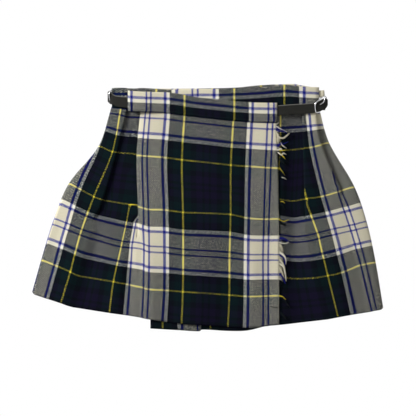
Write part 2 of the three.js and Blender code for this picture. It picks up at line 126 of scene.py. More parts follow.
def level(value):
    return [value] * len(LEVELS)


# %% a line down the cloth
def line(x, y, z, u):
    def place(row, levels):
        return [smooth(x, row, levels), smooth(y, row, levels),
                along(list(zip(levels, z)), row), along(list(zip(levels, u)), row)]
    return place


def fold_lines(edge, side, depth, opened, rise, under_u):
    """Six lines round a stitched fold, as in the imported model, with their warp threads.

    rise is the way that the rows lean where the fold has opened."""
    turn, spread = 0.8, 1.3

    def make(k):
        def place(row, levels):
            x, y, z, u = edge(row, levels)
            d = along(depth, row)
            w = min(max(along(opened, row), 0), 1)
            near = min(turn, d + turn * 0.25)
            bulge, drop = [
                (0, 0), (near * 0.6, PITCH * 0.45), (0, PITCH),
                (0, PITCH), (-near * 0.6, PITCH * 1.55), (0, 2 * PITCH)][k]
            away = (turn - bulge) if k < 2 else d - turn * 0.5 - bulge
            if k == 2:
                away = min(turn, d * 0.5) - 0.02
            if k == 3:
                away = max(d - turn, d * 0.5) + 0.02
            if k == 5:
                away = d - turn if d > turn else d - turn * (1 - 2 * (1 - d / turn))
            if k == 0:
                away = turn if d > turn else turn * (d / turn) - turn * (1 - d / turn)
            slant = {2: 0.18, 3: -0.18}.get(k, 0)
            flat = -side * (k - 2.5) * spread
            low = along(under_u, row)
            woven = [u, u, lerp(u, low, 0.15), lerp(u, low, 0.45), lerp(u, low, 0.55), low][k]
            return [x + lerp(side * away, flat, w), y + lerp(0, flat * rise, w),
                    z - lerp(drop - slant, 0, w), lerp(woven, u + flat, w)]
        return place

    lines = [make(k) for k in range(6)]
    return lines if side < 0 else lines[::-1]


# %% [markdown]
# The waistband is a straight strip. Its table gives, from left to right, the upper edge, the
# seam and the height; a second table says which warp thread crosses at which place.

# %% waistband tables
OVER_BAND = [
    (-95.6, 140, 115.6, 9.7), (-89.6, 139.4, 115.3, 9.7), (-74, 138.4, 114.8, 9.7), (-66, 138.3, 114.5, 9.2),
    (-57.2, 138.2, 114.1, 8.2), (-42.8, 137.4, 112.9, 7.9), (-28.4, 135, 110.6, 7.9),
    (-11.6, 132, 108.8, 7.9), (8.8, 130, 106.4, 7.9), (29.2, 127.8, 104.4, 7.9), (50.8, 125.9, 102.8, 7.9),
    (65.2, 125.6, 102.1, 7.9), (83.2, 125.4, 101.9, 7.9)]
OVER_BAND_WARP = [
    (-95.6, -27.1), (-91.2, -21.5), (-73.1, -3), (-68.3, 3), (-51.2, 21.5), (-45.6, 27.1), (-28.1, 44.3),
    (32.2, 103.4), (49.6, 120.6), (53.8, 126.2), (73, 144.7), (79, 150.7), (83.2, 154.5)]
UNDER_BAND = [
    (-90.4, 142.3, 118.4, 5.4), (-78.8, 143.4, 118.6, 5.4), (-44, 141.4, 117.6, 5.4),
    (-11.6, 142.4, 118.4, 5.4), (12.4, 142.2, 118.8, 5.4), (30.4, 142.8, 119.2, 5.4),
    (50.8, 143.8, 120, 5.4), (65.2, 144.6, 121, 5.4), (80.8, 146.3, 121.8, 5.4), (94, 147.3, 122.2, 5.4),
    (110.8, 145.4, 121.8, 5.4), (124, 144.6, 121.2, 5.3), (129.5, 144.5, 120.8, 5), (132, 144.4, 120.6, 4.2),
    (132.8, 144.4, 120.6, 3.2), (132, 144.4, 120.6, 2.1), (129.5, 144.5, 120.7, 1.1),
    (125.5, 144.8, 120.9, 1.1)]
UNDER_BAND_WARP = [
    (-90.4, -73), (-61.4, -44.3), (-43.4, -27.1), (-36.8, -21.5), (-18.2, -3), (-12.2, 3), (7.6, 21.5),
    (13.2, 27.1), (31.6, 44.3), (92.2, 103.4), (109.6, 120.6), (116.2, 126.2), (131.2, 142), (160, 168)]
BACK_BAND = [
    (-105.4, 143.6, 119.4, 1.1), (-87, 143.2, 118.8, 1.1), (-44, 143, 118.6, 1.1), (30, 144, 119.8, 1.1),
    (65, 147.2, 123.2, 1.1), (104, 148.6, 124.2, 1.1), (110, 147.4, 123.6, 1.1), (125.1, 144.9, 120.9, 1.1)]
BACK_BAND_WARP = [(-105.4, -66), (125.1, 164)]
LEFT_BAND = [
    (-105.8, 143.6, 119.4, 1.1), (-111, 143.5, 119.8, 1.1), (-113.4, 143.4, 120, 2.1),
    (-114.2, 143.4, 120, 3.2), (-113.4, 143.4, 119.9, 4.3), (-111, 143.6, 119.6, 5.1),
    (-107, 143.7, 119.3, 5.4), (-98, 143.4, 118.9, 5.4), (-91.2, 142.4, 118.6, 5.4)]
LEFT_BAND_WARP = [(-114.2, -42.5), (-91.2, -29)]
BAND_WEFT = (14.4, 38.9)       # the weft threads at the upper edge and at the seam


def seam_of(table):
    places = sorted((x, seam) for x, _, seam, _ in table)
    return lambda x: along(places, x)


over_seam = seam_of(OVER_BAND)
under_seam = seam_of(UNDER_BAND)


def hip_seam(x):
    left = along([(-116, 119.6), (-104.6, 119.2), (-97.6, 118.4), (-96.4, 115.4)], x)
    return min(left, over_seam(x)) if x > -96.4 else left


# %% [markdown]
# The over apron and the left side are one length of cloth. An inverted pleat on the hip is
# stitched down from the waist and opens towards the hem, so both of its edges are folds in the
# same sheet.

# %% lines of the over apron and left side
LEFT_EDGE_X = [-115.4, -130.9, -166.9, -185.6, -199.7, -210.4]
LEFT_EDGE_Y = [119.4, 73.3, 27.8, -17.4, -63.6, -101.4]
LEFT_EDGE_U = [-115.6, -120, -136, -142, -142, -142]
RIGHT_EDGE_X = [133.4, 145.6, 176.2, 191.5, 201.4, 210.4]
RIGHT_EDGE_Y = [119.4, 77.6, 24, -20.6, -66, -120.3]
RIGHT_EDGE_U = [10, 13, 18, 18, 14, 10.7]
FREE_EDGE_Y = [101.4, 47.4, -13.8, -60, -105.6, -140]


def edge_line(xs, ys, us, dx, z, du, drop=0):
    """A line beside a side edge. drop rounds the corner where the edge meets the hem."""
    return line([x + dx for x in xs], ys[:5] + [ys[5] - drop], z, [u + du for u in us])


hip_fold = line([-97.3, -109.4, -126.2, -142.8, -154.7, -165.2], [116.4, 66.8, 9, -33, -81.6, -118.8],
                [5.4, 5.4, 5.4, 5.6, 5.8, 5.6], [-95.5, -98, -92.1, -92, -92, -92])
apron_fold = line([-80.6, -85.1, -83.6, -82.7, -83.3, -85.1], [115, 62.8, 0.8, -46, -94.8, -131.4],
                  [5.5, 5.5, 5.5, 5.6, 5.6, 5.4], level(-9.6))
left_edge = (LEFT_EDGE_X, LEFT_EDGE_Y, LEFT_EDGE_U)
LEFT_LINES = [
    edge_line(*left_edge, 9, level(FLOOR), -14),
    edge_line(*left_edge, 1.6, level(FLOOR), -6),
    edge_line(*left_edge, 0.4, level(1.5), -4),
    edge_line(*left_edge, 0, level(2.6), -3),
    edge_line(*left_edge, 0.5, level(3.7), -1.8, 0.8),
    edge_line(*left_edge, 2.4, level(4.6), 0.6, 3.2),
    line([-104.6, -114.4, -136.9, -152.3, -164.8, -176.5], [118.3, 67.2, 13, -29.6, -76.8, -114.8],
         [5.4, 5.4, 5.6, 6.4, 6.6, 6], level(-103.4)),
    *fold_lines(hip_fold, -1, [(-4, 6), (48.8, 11), (100, 6), (122, 0)], [(122, 0), (150, 1)], -0.29,
                [(-3.6, -75), (48.8, -75), (111, -86), (122, -88)]),
    line([-89, -96.8, -94.9, -103, -112.7, -117.8], [115.2, 65.4, 3.6, -44.2, -88.9, -126.6],
         [2.2, 2.2, 2.2, 4.8, 5.4, 5.4], [-61, -61, -45.3, -44.3, -44.3, -44.3]),
    *fold_lines(apron_fold, 1, [(-4, 15), (48.8, 15), (92, 12), (111, 10), (132, 0)],
                [(132, 0), (160, 1)], -0.17, [(-3.6, -48), (109.2, -47.5), (110.8, -33.5), (132, -12)]),
    line([-69.4, -72.8, -71.2, -70.4, -70.9, -72.8], [114.4, 61.8, -2.4, -49.8, -97.8, -133.8],
         [7, 7, 7, 7, 7, 6.85], level(3)),
    line([-50.6, -54.5, -52.6, -52, -52.2, -54.5], [113.4, 60.4, -3, -51, -99, -136.4],
         [7, 7, 7, 7.2, 7.3, 6.85], level(21.5)),
    line([-28.1, -31.2, -29.9, -29.6, -30, -31.6], [110.4, 57.5, -6, -53.8, -100.8, -139.6],
         [7, 7, 7, 7.1, 7.1, 6.85], level(44.3)),
    line([0, -2, -1.5, -2, -2.4, -3.6], [107.4, 54.3, -7, -55.5, -102.5, -141.4],
         [7, 7, 7, 7, 7.2, 6.85], level(73.3)),
    line([31, 28, 27.7, 26.5, 26.2, 24.4], [103.8, 51, -8.6, -57.4, -104.8, -143.2],
         [7, 7, 7, 7, 7, 6.85], level(103.4)),
    line([52.9, 50.6, 49.3, 48.7, 48.6, 48], [102.4, 49.4, -13, -60, -106.4, -144.2],
         [7, 7, 7, 7.2, 7.3, 6.85], level(126.2)),
    line([71.9, 69.5, 67.6, 66.4, 66.6, 66.4], [101.5, 48.1, -14.2, -60, -106.1, -143],
         [7, 7, 7, 7, 7, 6.85], level(144.7)),
    line([81.6, 84.3, 85.5, 85.8, 85.8, 85.8], FREE_EDGE_Y,
         [7, 7, 7, 7, 7, 6.85], [154.6, 159.6, 163.5, 164, 164, 164]),
]

# %% lines of the right side
ridge_fold = line([113.2, 115, 116.8, 121.6, 133.6, 146.6], [121.7, 71.4, 10.2, -36.6, -83.4, -133.6],
                  [5.4, 5.4, 6, 7.4, 8, 8], [-31, -34, -46, -57, -55.4, -55.4])
right_hip_fold = line([128.4, 136.6, 160, 173.2, 184, 197.2], [121.5, 75, 19.8, -24.6, -69, -124.8],
                      [5.4, 5.4, 5.6, 6.2, 6.2, 5.8], [-14, -12, 2, -1, -3, -3])
right_edge = (RIGHT_EDGE_X, RIGHT_EDGE_Y, RIGHT_EDGE_U)
RIGHT_LINES = [
    line([70, 70, 71.2, 72.4, 72.4, 72.4], [121, 69, 10.2, -35.4, -83.4, -142.2],
         [5.4, 5.4, 5.4, 5.4, 5.4, 5.1], [-122, -124, -125, -126, -127, -128]),
    line([88, 88, 88.5, 89, 89, 90], [121.4, 69, 9.4, -36.4, -84, -140.6],
         [5.2, 5.2, 5.2, 5.2, 5.2, 5.1], [-102.4, -102.4, -92, -90, -91, -93]),
    line([100, 100, 102.4, 104.6, 108, 112], [121.8, 69.4, 7.6, -38.6, -85.4, -138.2],
         [3.2, 2.6, 2.4, 2.6, 3, 3.2], [-84, -84, -76, -75, -77, -80]),
    *fold_lines(ridge_fold, 1, [(-4, 2.4), (48.8, 2.4), (100, 2.4), (118, 0)], [(118, 0), (148, 1)], 0.18,
                [(-3.6, -60), (48.8, -60), (111, -52), (118, -50)]),
    line([118.4, 124, 137.7, 148.1, 160, 171.4], [121.6, 72.4, 13.2, -30, -78, -129],
         [5.4, 5.4, 6, 6.9, 7, 6.6], [-24.6, -25, -25.2, -27.1, -27.1, -27.1]),
    *fold_lines(right_hip_fold, -1, [(-4, 4.2), (48.8, 6), (90, 5), (104, 0)], [(104, 0), (126, 1)], 0.23,
                [(-3.6, 4), (48.8, 4), (90, 5), (104, 4)]),
    edge_line(*right_edge, -2.4, [2.2, 2.2, 3.8, 4.6, 4.6, 4.6], -0.6, 2.4),
    edge_line(*right_edge, -0.5, [1.9, 1.9, 3.1, 3.7, 3.7, 3.7], 1.8, 0.6),
    edge_line(*right_edge, 0, [1.4, 1.4, 2.2, 2.6, 2.6, 2.6], 3),
    edge_line(*right_edge, -0.4, [0.9, 0.9, 1.3, 1.5, 1.5, 1.5], 4),
    edge_line(*right_edge, -1.6, level(FLOOR), 6),
    edge_line(*right_edge, -9, level(FLOOR), 14),
]

# %% [markdown]
# Pressed wool still shows soft creases. Each one here is listed: where it starts and
# ends, how wide it is and how high it stands, with a minus sign for a trough.

# %% creases
CREASE_SCALE = 1.9             # how many times its listed height a crease stands
CREASE_FROM = 4.2              # layers under this height lie flat
CREASE_FADE = 8                # rows under the waistband in which creases grow
CREASES = [
    # x, y of one end, x, y of the other, half width, height
    (-150, -40, -172, -112, 12, 1.1), (-128, -20, -148, -110, 9, -0.9), (-104, -60, -116, -124, 9, 0.9),
    (-92, -40, -98, -130, 6, -0.7), (-176, -10, -198, -92, 9, -0.7), (-112, 30, -124, -14, 6, 0.9),
    (-104, 34, -99, 2, 5, -0.7), (-70, -60, -66, -134, 10, 0.7), (-40, -52, -44, -138, 14, -0.6),
    (-8, -40, -12, -140, 13, 0.7), (24, -30, 22, -142, 13, -0.6), (54, -62, 52, -144, 10, 0.6),
    (72, 20, 74, -140, 9, -0.5), (10, 96, 6, 20, 22, 0.5), (-40, 104, -44, 10, 16, -0.4),
    (96, 40, 100, -130, 9, 0.8), (104, -10, 116, -136, 6, -0.8), (142, -20, 166, -120, 12, 0.9),
    (165, 0, 190, -116, 9, -0.7), (128, 100, 150, 40, 6, 0.6), (-60, -20, 60, -30, 26, 0.35),
]


def crease_height(x, y):
    total = 0.0
    for ax, ay, bx, by, half, high in CREASES:
        if x < min(ax, bx) - 2.2 * half or x > max(ax, bx) + 2.2 * half:
            continue
        dx, dy = bx - ax, by - ay
        t = ((x - ax) * dx + (y - ay) * dy) / (dx * dx + dy * dy)
        if -0.25 < t < 1.25:
            away = math.hypot(x - ax - t * dx, y - ay - t * dy) / half
            ends = min(1, max(0, (t + 0.25) / 0.4)) * min(1, max(0, (1.25 - t) / 0.4))
            total += high * math.exp(-1.4 * away * away) * ends
    return total


# %% [markdown]
# A sheet starts as a flat grid. Every vertex of the grid is then carried to its place on the
# folded cloth, and the warp and weft numbers go into a UV map in millimetres, so the stripes
# follow the cloth round every fold. Solidify gives the wool its thickness.

# %% grid to cloth
UV_NAME = "weave"


def sheet_object(name, columns, rows, place, thickness):
    """place(i, j) gives x, y, z and warp, weft in millimetres for column i and row j."""
    mesh = bpy.data.meshes.new(name)
    bm = bmesh.new()
    bmesh.ops.create_grid(bm, x_segments=columns - 1, y_segments=rows - 1, size=1)
    uv = bm.loops.layers.uv.new(UV_NAME)
    woven = {}
    for vert in bm.verts:
        i = round((vert.co.x + 1) / 2 * (columns - 1))
        j = round((1 - vert.co.y) / 2 * (rows - 1))
        x, y, z, warp, weft = place(i, j)
        vert.co = (x * MM, y * MM, z * MM)
        woven[vert] = (warp, weft)
    for face in bm.faces:
        face.smooth = True
        for loop in face.loops:
            loop[uv].uv = woven[loop.vert]
    area = sum(face.calc_area() for face in bm.faces)
    bm.to_mesh(mesh)
    bm.free()
    piece = bpy.data.objects.new(name, mesh)
    bpy.context.scene.collection.objects.link(piece)
    wall = piece.modifiers.new("wall", "SOLIDIFY")
    wall.thickness = thickness * MM
    wall.offset = 0
    print(name, columns * rows, "points,", round(area * 1e4), "square cm")
    return piece, area


def columns_of(lines, gaps):
    """Splits the space between the lines into finer columns: (line, share of the way)."""
    out = []
    for k, count in enumerate(gaps):
        out += [(k, n / count) for n in range(count)]
    return out + [(len(lines) - 2, 1.0)]


def across(points, k, t):
    """A smooth curve across the lines at one row, through the points' own spacing."""
    reach = [0.0]
    for a, b in zip(points, points[1:]):
        reach.append(reach[-1] + max(math.dist(a[:3], b[:3]), 0.05))
    last = len(points) - 1

    def slope(n, axis):
        a, b = max(n - 1, 0), min(n + 1, last)
        return (points[b][axis] - points[a][axis]) / (reach[b] - reach[a])

    here = lerp(reach[k], reach[k + 1], t)
    out = [hermite(reach[k], points[k][axis], slope(k, axis), reach[k + 1], points[k + 1][axis],
                   slope(k + 1, axis), here) for axis in range(3)]
    return out + [lerp(points[k][3], points[k + 1][3], t)]


def folded_cloth(name, lines, levels, rows, gaps, top_edge, crease=CREASE_SCALE):
    columns = columns_of(lines, gaps)
    grid = []
    for row in rows:
        points = [place(row, levels) for place in lines]
        if row == rows[0]:
            for p in points:
                p[1] = top_edge(p[0]) + TUCK
        grid.append([across(points, k, t) for k, t in columns])

    def place(i, j):
        x, y, z, warp = grid[j][i]
        shown = min(max((z - CREASE_FROM) / CLOTH, 0), 1) * min(j / CREASE_FADE, 1)
        return x, y, z + crease * shown * crease_height(x, y), warp, rows[j]

    return sheet_object(name, len(columns), len(rows), place, CLOTH)


def finer(levels, step):
    first, last = levels[0], levels[-1]
    count = round((last - first) / step)
    return [lerp(first, last, n / count) for n in range(count + 1)]


# %% over apron, left side and right side
FOLD = [2, 2, 4, 2, 2]
left_gaps = [3, 2, 2, 2, 2, 8, 6, *FOLD, 10, 8, *FOLD, 8, 10, 10, 12, 12, 10, 8, 8]
over_apron, over_area = folded_cloth(
    "over_apron_cloth", LEFT_LINES, LEVELS, finer(LEVELS, 2.4), left_gaps, hip_seam)
right_gaps = [4, 6, 6, *FOLD, 8, 8, *FOLD, 6, 2, 2, 2, 2, 3]
right_side, right_area = folded_cloth(
    "right_side_cloth", RIGHT_LINES, RIGHT_LEVELS, finer(RIGHT_LEVELS, 2.4), right_gaps, under_seam)

# %% under apron
UNDER_COLUMNS = [
    # x, seam, hem, warp
    (-68.8, 117, -145.3, -59), (-33, 117, -147.4, -24), (-9.6, 117.6, -148.6, -0.5),
    (-7.4, 117.6, -146.6, 34), (26.8, 118.6, -148.2, 68), (48, 119.6, -147.6, 90), (69.2, 120.8, -142.4, 111)]


def under_line(x, top, hem, warp):
    def place(row, levels):
        t = (row - levels[0]) / (levels[-1] - levels[0])
        return [x, lerp(top, hem, t), along([(244, 5.4), (262, 4.8)], row), warp]
    return place


under_apron, under_area = folded_cloth(
    "under_apron_cloth", [under_line(*row) for row in UNDER_COLUMNS], RIGHT_LEVELS,
    finer(RIGHT_LEVELS, 4), [8, 8, 2, 8, 6, 6], under_seam, crease=0)

# %% [markdown]
# The back lies on the table. It is pleated all one way: each pleat has a face, a fold and two
# hidden layers above it.

# %% back with its knife pleats
PLEATS = 12
BACK_PITCH = 1.45
SIDE_SEAM = 9.9
JOIN_TOP, LEFT_JOIN_HEM, RIGHT_JOIN_HEM = 119, -99, -113
PLEAT_TOP = (-56, 62, 5)
PLEAT_HEM = (-84, 76, 8)
BACK_HEM = [(-202, -99), (-160, -116), (-84, -131), (0, -137), (92, -136), (150, -128), (202, -113)]


def edge_curve(xs, ys, levels):
    """Gives x of a side edge at any y, from places taken from the hem upwards."""
    steps, places = 40, []
    for n in range(steps + 1):
        row = lerp(levels[0], levels[-1], 1 - n / steps)
        places.append((smooth(ys, row, levels), smooth(xs, row, levels)))
    return lambda y: along(places, y)


left_curve = edge_curve(LEFT_EDGE_X, LEFT_EDGE_Y, LEVELS)
right_curve = edge_curve(RIGHT_EDGE_X, RIGHT_EDGE_Y, RIGHT_LEVELS)


def left_join(t):
    return left_curve(lerp(JOIN_TOP, LEFT_JOIN_HEM, t)) + SIDE_SEAM


def right_join(t):
    return right_curve(lerp(JOIN_TOP, RIGHT_JOIN_HEM, t)) - SIDE_SEAM


def pleat_line(n, tucked, dx, up):
    share = (n + 0.6) / PLEATS

    def place(t):
        edge = lerp(lerp(PLEAT_TOP[0], PLEAT_TOP[1], share), lerp(PLEAT_HEM[0], PLEAT_HEM[1], share), t)
        return edge - tucked * lerp(PLEAT_TOP[2], PLEAT_HEM[2], t) + dx, FLOOR + up * BACK_PITCH
    return place


def back_lines():
    turn = 0.8
    yield lambda t: (left_join(t), FLOOR)
    yield lambda t: (lerp(left_join(t), lerp(PLEAT_TOP[0], PLEAT_HEM[0], t), 0.6) - 4, FLOOR)
    for n in range(PLEATS):
        for tucked, dx, up in [(0, -turn, 0), (0, 0, 0.5), (0, -turn, 1), (1, turn, 1), (1, 0, 1.5),
                               (1, turn, 2), (0, turn, 2), (0, 3.4, 0)]:
            yield pleat_line(n, tucked, dx, up)
    yield lambda t: (lerp(lerp(PLEAT_TOP[1], PLEAT_HEM[1], t), right_join(t), 0.4), FLOOR)
    yield lambda t: (right_join(t), FLOOR)


BACK_LINES = list(back_lines())
back_seam = seam_of(BACK_BAND)
BACK_ROWS = 60
BACK_FIRST_WARP = -142
back_warp = [0.0]
for a, b in zip(BACK_LINES, BACK_LINES[1:]):
    back_warp.append(back_warp[-1] + math.dist(a(1), b(1)))


def back_place(i, j):
    t = j / (BACK_ROWS - 1)
    x, z = BACK_LINES[i](t)
    y = lerp(back_seam(x) + TUCK, along(BACK_HEM, x), t)
    return x, y, z, back_warp[i] + BACK_FIRST_WARP, lerp(LEVELS[0], LEVELS[-1], t)


back, back_area = sheet_object("back_cloth", len(BACK_LINES), BACK_ROWS, back_place, CLOTH)


# %% waistband
def waistband(name, table, warp):
    steps, rows = 5, 13
    columns = (len(table) - 1) * steps + 1
    points = [(x, top, z, seam) for x, top, seam, z in table]

    def place(i, j):
        k = min(i // steps, len(points) - 2)
        x, top, z, seam = across(points, k, (i - k * steps) / steps)
        down = j / (rows - 1)
        body = 0.25 * math.sin(math.pi * down) - 0.12 * math.sin(x * 0.21) * down
        height = z + (body if z > 4.9 else 0)
        return x, lerp(top, seam, down), height, along(warp, x), lerp(*BAND_WEFT, down)

    return sheet_object(name, columns, rows, place, BAND)


band_over, band_over_area = waistband("waistband_over", OVER_BAND, OVER_BAND_WARP)
band_under, band_under_area = waistband("waistband_under", UNDER_BAND, UNDER_BAND_WARP)
band_back, band_back_area = waistband("waistband_rear", BACK_BAND, BACK_BAND_WARP)
band_left, band_left_area = waistband("waistband_left", LEFT_BAND, LEFT_BAND_WARP)

LINING_END = [(130, 136.6, 2.2), (133.4, 137, 2.6), (137, 137.2, 3.2), (140, 137.4, 3.8)]


def lining_place(i, j):
    x, y, z = LINING_END[i]
    down = j / 4
    return x + down * 0.8, lerp(y + 3.6, y - 5, down), z + 0.3 * math.sin(down * 3), 12, 12


lining, _ = sheet_object("lining_end", 4, 5, lining_place, 0.6)

# %% [markdown]
# Shader maths reads best as plain arithmetic. This small class wraps a socket, and every
# operator adds the Math node that it stands for.


# %% shader maths helper
class Wire:
    def __init__(self, tree, socket):
        self.tree, self.socket = tree, socket

    def math(self, operation, *others):
        return node(self.tree, "ShaderNodeMath", {"operation": operation}, self, *others)

    def __add__(self, other):
        return self.math("ADD", other)

    def __sub__(self, other):
        return self.math("SUBTRACT", other)

    def __mul__(self, other):
        return self.math("MULTIPLY", other)

    def __truediv__(self, other):
        return self.math("DIVIDE", other)


def node(tree, kind, settings, *inputs, output=0, **named):
    made = tree.nodes.new(kind)
    for key, value in settings.items():
        if key == "stops":
            ramp = made.color_ramp
            ramp.interpolation = "CONSTANT"
            while len(ramp.elements) < len(value):
                ramp.elements.new(1)
            for element, (place, colour) in zip(ramp.elements, value):
                element.position = place
                element.color = (*colour, 1)
        else:
            setattr(made, key, value)
    slots = list(enumerate(inputs)) + [(k.replace("_", " "), v) for k, v in named.items()]
    for slot, value in slots:
        socket = made.inputs[slot]
        if isinstance(value, Wire):
            tree.links.new(value.socket, socket)
        elif value is not None:
            socket.default_value = value
    return Wire(tree, made.outputs[output])


def new_material(name):
    material = bpy.data.materials.new(name)
    material.use_nodes = True
    tree = material.node_tree
    return material, tree, tree.nodes["Principled BSDF"]


def drive(tree, shader, **sockets):
    for name, value in sockets.items():
        socket = shader.inputs[name.replace("_", " ")]
        if isinstance(value, Wire):
            tree.links.new(value.socket, socket)
        else:
            socket.default_value = value


# %% [markdown]
# A tartan is a list of thread counts read forwards and then backwards. The distance across the
# cloth is folded at the middle of the white and of the navy stripe, and a stepped ramp gives the
# thread's colour. Warp and weft are blended as a twill blends them, on the eighth root of each
# colour, which comes out darker than plain paint mixing: that extra darkening is painted shade.

# %% the thread counts
WHITE = (0.480, 0.446, 0.338)
PALE = (0.62, 0.60, 0.50)      # the white beside each blue stripe, which is spun brighter
BLACK = (0.0027, 0.0037, 0.0064)
GREEN = (0.0024, 0.0036, 0.0060)
NAVY = (0.0024, 0.0034, 0.0060)
BLUE = (0.0080, 0.0105, 0.135)
YELLOW = (0.54, 0.44, 0.028)
# the dyes only show where two dark threads cross, so they are added after the mix
DYE = {GREEN: (0, 0.0036, 0.0026), NAVY: (0.0026, 0.0007, 0.0072)}
WARP_SETT = 147.7
WEFT_SETT = 159.8
WARP_COUNT = [
    (1.8, WHITE), (4.2, BLUE), (19.7, WHITE), (23.3, BLUE), (27.1, PALE), (33.8, BLACK), (43.3, GREEN),
    (45.3, YELLOW), (54.8, GREEN), (61.2, BLACK), (68.6, NAVY), (71.2, BLACK), (73.85, NAVY)]
WEFT_COUNT = [
    (2.2, WHITE), (4.6, BLUE), (20.1, WHITE), (23.6, BLUE), (27.8, PALE), (37.3, BLACK), (47.9, GREEN),
    (49.7, YELLOW), (60.3, GREEN), (66.7, BLACK), (74.9, NAVY), (77.9, BLACK), (79.9, NAVY)]


def stops(count, half_sett, dye):
    start, out = 0.0, []
    for end, colour in count:
        value = DYE.get(colour, (0, 0, 0)) if dye else tuple(c ** 0.125 for c in colour)
        out.append((start / half_sett, value))
        start = end
    return out


def folded(distance, sett):
    """0 at the middle of the white stripe, 1 at the middle of the navy one, and back."""
    turn = node(distance.tree, "ShaderNodeMath", {"operation": "PINGPONG"}, distance, sett / 2)
    return turn / (sett / 2)


def threads(tree, distance, count, sett, dye=False):
    return node(tree, "ShaderNodeValToRGB", {"stops": stops(count, sett / 2, dye)}, folded(distance, sett))


def eighth_power(tree, colour):
    for _ in range(3):
        colour = node(tree, "ShaderNodeVectorMath", {"operation": "MULTIPLY"}, colour, colour)
    return colour


def mix_colour(tree, factor, a, b, blend="MIX"):
    made = tree.nodes.new("ShaderNodeMix")
    made.data_type = "RGBA"
    made.blend_type = blend
    for slot, value in ((0, factor), (6, a), (7, b)):
        if isinstance(value, Wire):
            tree.links.new(value.socket, made.inputs[slot])
        else:
            made.inputs[slot].default_value = value
    return Wire(tree, made.outputs[2])


# %% tartan wool
THREAD = 0.62                  # pitch of the threads, in millimetres
WEFT_SHARE = 0.45              # how much of the cloth's face is weft
# how far the twill's lines, the nap and the grain move that share from place to place
TWILL_PULL, NAP_PULL, GRAIN_PULL = 0.28, 0.7, 1.5


def tartan(name, weft_only=False):
    material, tree, shader = new_material(name)
    uv = node(tree, "ShaderNodeUVMap", {"uv_map": UV_NAME})
    parts = tree.nodes.new("ShaderNodeSeparateXYZ")
    tree.links.new(uv.socket, parts.inputs[0])
    warp, weft = Wire(tree, parts.outputs[0]), Wire(tree, parts.outputs[1])
    wander = node(tree, "ShaderNodeTexNoise", {}, uv, Scale=0.35, Detail=2.0) - 0.5
    warp_thread = threads(tree, warp + wander * 0.5, WARP_COUNT, WARP_SETT)
    weft_thread = threads(tree, weft + wander * 0.5, WEFT_COUNT, WEFT_SETT)
    diagonal = (warp + weft) * (2 * math.pi / (4 * THREAD))
    twill = diagonal.math("SINE")
    fuzz = node(tree, "ShaderNodeTexNoise", {}, uv, Scale=1.6, Detail=3.0) - 0.5
    grain = node(tree, "ShaderNodeTexNoise", {}, uv, Scale=0.62, Detail=2.0) - 0.5
    share = twill * TWILL_PULL + fuzz * NAP_PULL + grain * GRAIN_PULL + WEFT_SHARE
    if weft_only:
        share = fuzz * 0.2 + 0.97
    # the mix on the eighth root comes out darker where pale and dark threads cross: painted shade between the
    # threads
    woven = eighth_power(tree, mix_colour(tree, share, warp_thread, weft_thread))
    warp_dye = threads(tree, warp, WARP_COUNT, WARP_SETT, dye=True)
    weft_dye = threads(tree, weft, WEFT_COUNT, WEFT_SETT, dye=True)
    dye = mix_colour(tree, 0.5, warp_dye, weft_dye)
    woven = node(tree, "ShaderNodeVectorMath", {"operation": "ADD"}, woven, dye)
    slubs = node(tree, "ShaderNodeTexNoise", {}, uv, Scale=0.8, Detail=4.0, Roughness=0.7)
    tone = slubs * 0.6 + 0.7
    colour = node(tree, "ShaderNodeVectorMath", {"operation": "SCALE"}, woven, Scale=tone)
    height = twill * 0.5 + fuzz * 0.8
    bump = node(tree, "ShaderNodeBump", {}, Height=height, Strength=0.35, Distance=0.0003)
    drive(tree, shader, Base_Color=colour, Roughness=0.88, Normal=bump)
    drive(tree, shader, **{"Specular IOR Level": 0.02, "Sheen Weight": 0.02, "Sheen Roughness": 0.5})
    return material


wool = tartan("tartan_wool")
fringe_wool = tartan("fringe_wool", weft_only=True)
print("half setts", WARP_SETT / 2, WEFT_SETT / 2)

# %% dress the cloth and say what each sheet was cut to
CLOTH_PIECES = [
    # piece, node, width, length, area, what it rests on
    (over_apron, "over_apron_and_left_side", 0.335, 0.255, over_area, ["under_apron_cloth"]),
    (right_side, "right_side", 0.190, 0.270, right_area, ["back_cloth"]),
    (under_apron, "under_apron", 0.145, 0.270, under_area, ["back_cloth"]),
    (back, "back_pleats", 0.620, 0.255, back_area, []),
    (band_over, "waistband_over_apron", 0.182, 0.0255, band_over_area, ["waistband_under"]),
    (band_under, "waistband_under_apron", 0.240, 0.0255, band_under_area, ["waistband_rear"]),
    (band_back, "waistband_back", 0.232, 0.0255, band_back_area, []),
    (band_left, "waistband_left_hip", 0.042, 0.0255, band_left_area, []),
]
lining.data.materials.append(wool)
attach(lining, "root")
for piece, cad, width, length, area, under in CLOTH_PIECES:
    piece.data.materials.append(wool)
    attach(piece, "root")
    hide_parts(cad)
    print(cad, "cut", round(area / (width * length), 2), "of its rectangle")
